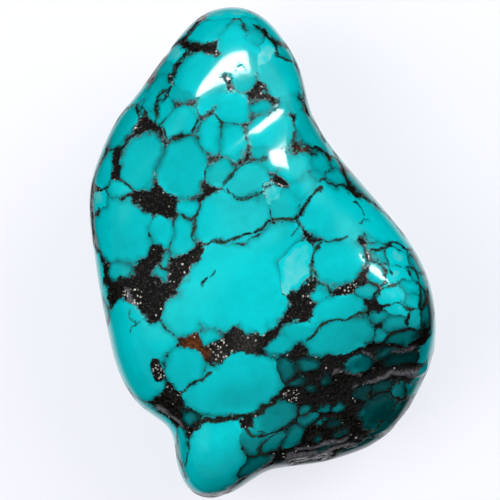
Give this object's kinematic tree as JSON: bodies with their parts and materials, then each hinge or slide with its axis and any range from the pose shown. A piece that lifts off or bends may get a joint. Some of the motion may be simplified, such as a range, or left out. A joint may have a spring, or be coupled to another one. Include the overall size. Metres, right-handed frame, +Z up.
{
  "type": "turquoise nugget",
  "caption": "Tumbled turquoise nugget, pear-shaped and gently flattened, with a narrow head and a small foot knob; lies on its worn back as a specimen or bead blank.",
  "frame": {"origin": "under the middle of the stone's bounding box, on the surface that it lies on", "axes": "+Y along the stone towards its narrow head, +X across it, +Z up through its front"},
  "size_m": [0.0212, 0.0302, 0.0129],
  "materials": {
    "polished_turquoise": "polished blue-green turquoise with a brown-black web of matrix"
  },
  "bodies": {
    "root": {"turquoise_nugget": "polished_turquoise"}
  },
  "joints": []
}
